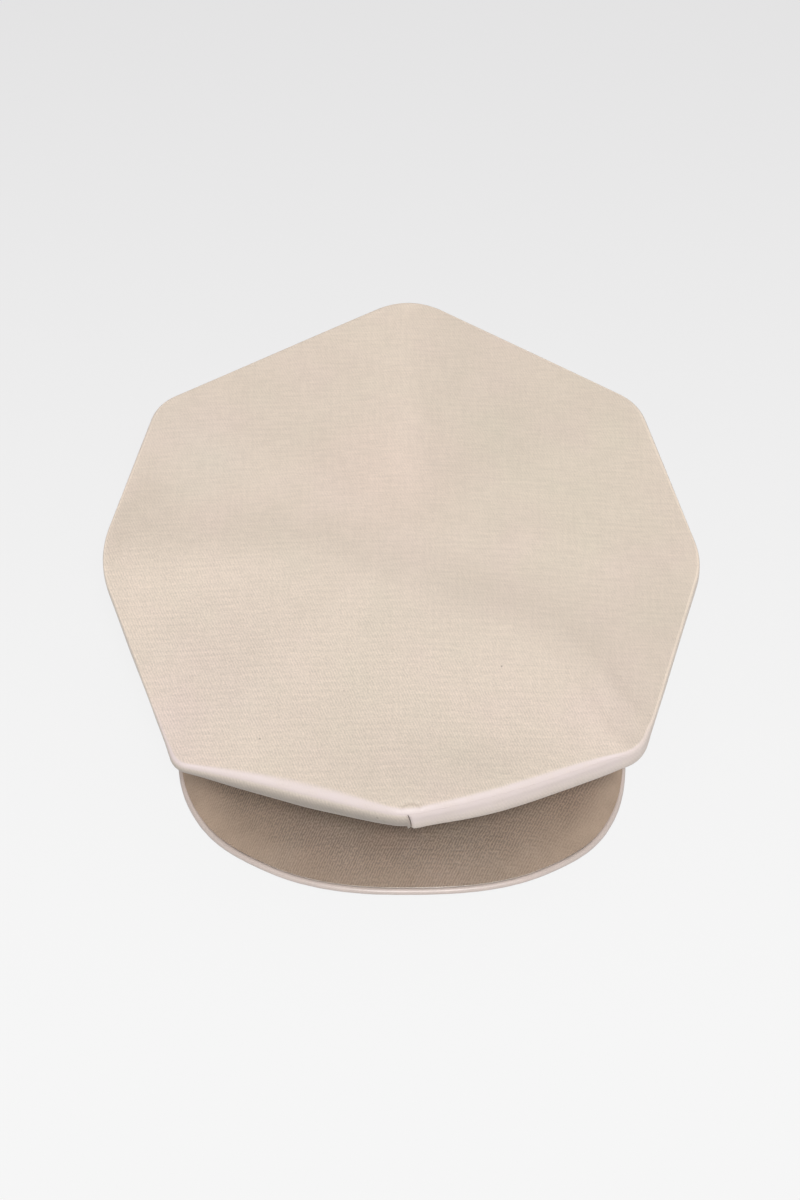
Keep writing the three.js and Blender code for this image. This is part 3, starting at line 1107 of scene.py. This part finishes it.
def peakPoint(along, share, depth):
    # share runs from the band to the rim, depth is below the upper face
    seat, rim, down, lift = peakSection(along)
    spot = seat.lerp(rim, share)
    spot.z += peakShape["camber"] * sin(pi * share)
    upright = Vector((0, 0, 1 / lift.z))
    return spot - upright.lerp(lift, share) * depth


def makePeakCover(name, look, nodes, upper):
    # the upper cover is modelled from its upper face, the under cover from its lower one
    wall = peakShape["upperCover" if upper else "underCover"]
    depth = 0 if upper else peakShape["upperCover"] + peakShape["coverGap"] + wall
    inset = peakShape["edgeWidth"] - peakShape["edgeOut"] - peakShape["edgeOverlap"]

    def place(u, v):
        along = 2 * u - 1
        seat, rim, down, lift = peakSection(along)
        spot = peakPoint(along, v * (1 - inset / (rim - seat).length), depth)
        wave = ripple(spot.x / 18, spot.y / 18, 2.0)
        spot.z += peakShape["unevenness"] * wave * sin(pi * v)
        return spot

    def paintedLightAt(u, v):
        # painted light at the rim and the sides, and the crown's painted shadow in front of its edge
        spot = place(u, v)
        ahead = peakTones["shadeSlant"] * abs(spot.x) - spot.y - peakTones["shadeFront"]
        fromMiddle = smooth(0.05, 0.3, abs(u - 0.5))
        rimPaintedLight = smooth(0.55, 0.97, v) * mix(peakTones["rimMiddle"], 1, fromMiddle)
        sidePaintedLight = peakTones["sidePaintedLight"] * smooth(38, 76, abs(spot.x)) * smooth(0, 22, ahead)
        dull = peakTones["shade"] * smooth(24, 0, ahead) * smooth(80, 40, abs(spot.x))
        return max(rimPaintedLight, sidePaintedLight), dull

    bm = clothGrid(
        200, 30, place,
        cloth=lambda u, v: place(u, v).to_2d(),
        facing=lambda spot: Vector((0, 0, 1 if upper else -1)),
        paintedLightAt=paintedLightAt if upper else None,
    )
    marks = [((58, -121), 0.5, 0.6)] if upper else []
    return finishPiece(bm, name, clothMaterial(look, marks), nodes, wall=wall - 0.1)


def makePeakEdge():
    tall = peakShape["edgeHeight"] / 2
    wide = peakShape["edgeWidth"] / 2
    middle = (peakShape["upperCover"] + peakShape["coverGap"] + peakShape["underCover"]) / 2

    def place(u, v):
        along, turn = 2 * u - 1, v * tau
        seat, rim, down, lift = peakSection(along)
        uneven = 1 + 0.05 * ripple(rim.x / 4, rim.y / 4, 7.0)
        spot = rim - lift * middle + down * (peakShape["edgeOut"] - wide)
        return spot + down * wide * cos(turn) * uneven + lift * tall * sin(turn) * uneven

    bm = clothGrid(
        260, 18, place,
        cloth=lambda u, v: (u * peakShape["edgeClothLong"], v * peakShape["edgeClothWide"]),
    )
    bmesh.ops.holes_fill(bm, edges=bm.edges)
    bmesh.ops.recalc_face_normals(bm, faces=bm.faces)
    return finishPiece(bm, "peakEdge", clothMaterial("edgeTwill"), ["peak_edge"])


makeCrownTop()
makeWall("sideWallRight", 1, ["side_wall_right"])
makeWall("sideWallLeft", -1, ["side_wall_left"])
print("cap: crown made")
makeBand()
makePeakCover("peakUpperCover", "peakTwillAndPaintedShade", ["peak_upper_cover"], upper=True)
makePeakCover("peakUnderCover", "bandTwill", ["peak_under_cover"], upper=False)
makePeakEdge()
print("cap: band and peak made")


# Studio
studio = {
    "floorSize": 14,
    "floorColour": (0.62, 0.62, 0.62),
    "floorNear": (0.94, 0.94, 0.94),
    "floorFar": (0.74, 0.735, 0.74),
    "greyOver": (-0.25, 0.65),
    "shadowShare": 0.07,
    "skyStrength": 0.22,
    "backdropStrength": 0.72,
}
# The camera's place in metres and how far it looks up from straight down, in degrees
studioCamera = {
    "sensor": 36,
    "lens": 106.667,
    "place": (-0.00006, -0.82114, 1.46077),
    "tilt": 30,
}
studioLights = [
    {"name": "behind", "from": (0.1, 0.36, 1), "spread": 40, "strength": 0.42},
    {"name": "front", "from": (0.06, -0.5, 1), "spread": 13, "strength": 2.65},
]


def floorPaint():
    # plain paper: it looks evenly pale, a little greyer far off, and lights the cap from below
    paint = bpy.data.materials.new("floorPaint")
    paint.use_nodes = True
    tree = paint.node_tree
    shader = tree.nodes["Principled BSDF"]
    shader.inputs["Base Color"].default_value = (*studio["floorColour"], 1)
    shader.inputs["Roughness"].default_value = 0.9
    shader.inputs["Specular IOR Level"].default_value = 0.1
    place = tree.nodes.new("ShaderNodeTexCoord")
    axes = tree.nodes.new("ShaderNodeSeparateXYZ")
    tree.links.new(place.outputs["Object"], axes.inputs["Vector"])
    far = rangeNode(tree, axes.outputs["Y"], *studio["greyOver"])
    glow = tree.nodes.new("ShaderNodeEmission")
    tone = mixColour(tree, far, (*studio["floorNear"], 1), (*studio["floorFar"], 1))
    tree.links.new(tone, glow.inputs["Color"])
    shaded = tree.nodes.new("ShaderNodeMixShader")
    shaded.inputs["Fac"].default_value = studio["shadowShare"]
    tree.links.new(glow.outputs["Emission"], shaded.inputs[1])
    tree.links.new(shader.outputs["BSDF"], shaded.inputs[2])
    seen = tree.nodes.new("ShaderNodeMixShader")
    rays = tree.nodes.new("ShaderNodeLightPath")
    tree.links.new(rays.outputs["Is Camera Ray"], seen.inputs["Fac"])
    tree.links.new(shader.outputs["BSDF"], seen.inputs[1])
    tree.links.new(shaded.outputs["Shader"], seen.inputs[2])
    tree.links.new(seen.outputs["Shader"], tree.nodes["Material Output"].inputs["Surface"])
    return paint


def makeStudio():
    bm = bmesh.new()
    bmesh.ops.create_grid(bm, x_segments=1, y_segments=1, size=studio["floorSize"] / 2)
    mesh = bpy.data.meshes.new("floor")
    bm.to_mesh(mesh)
    bm.free()
    floor = bpy.data.objects.new("floor", mesh)
    bpy.context.scene.collection.objects.link(floor)
    mesh.materials.append(floorPaint())

    world = bpy.data.worlds.new("studioSky")
    world.use_nodes = True
    tree = world.node_tree
    sky = tree.nodes["Background"]
    sky.inputs["Color"].default_value = (1, 1, 1, 1)
    rays = tree.nodes.new("ShaderNodeLightPath")
    strengths = studio["skyStrength"], studio["backdropStrength"]
    seen = rangeNode(tree, rays.outputs["Is Camera Ray"], 0, 1, *strengths)
    tree.links.new(seen, sky.inputs["Strength"])
    bpy.context.scene.world = world

    for row in studioLights:
        light = bpy.data.lights.new(row["name"], "SUN")
        light.angle = radians(row["spread"])
        light.energy = row["strength"]
        lamp = bpy.data.objects.new(row["name"], light)
        lamp.location = row["from"]
        lamp.rotation_euler = (-Vector(row["from"])).to_track_quat("-Z", "Y").to_euler()
        bpy.context.scene.collection.objects.link(lamp)


def makeCamera():
    lens = bpy.data.cameras.new("camera")
    lens.sensor_fit = "VERTICAL"
    lens.sensor_height = studioCamera["sensor"]
    lens.lens = studioCamera["lens"]
    camera = bpy.data.objects.new("camera", lens)
    camera.location = studioCamera["place"]
    camera.rotation_euler = (radians(studioCamera["tilt"]), 0, 0)
    bpy.context.scene.collection.objects.link(camera)
    bpy.context.scene.camera = camera


makeStudio()
makeCamera()
bpy.context.scene.view_settings.view_transform = "Standard"
print("cap: studio made")
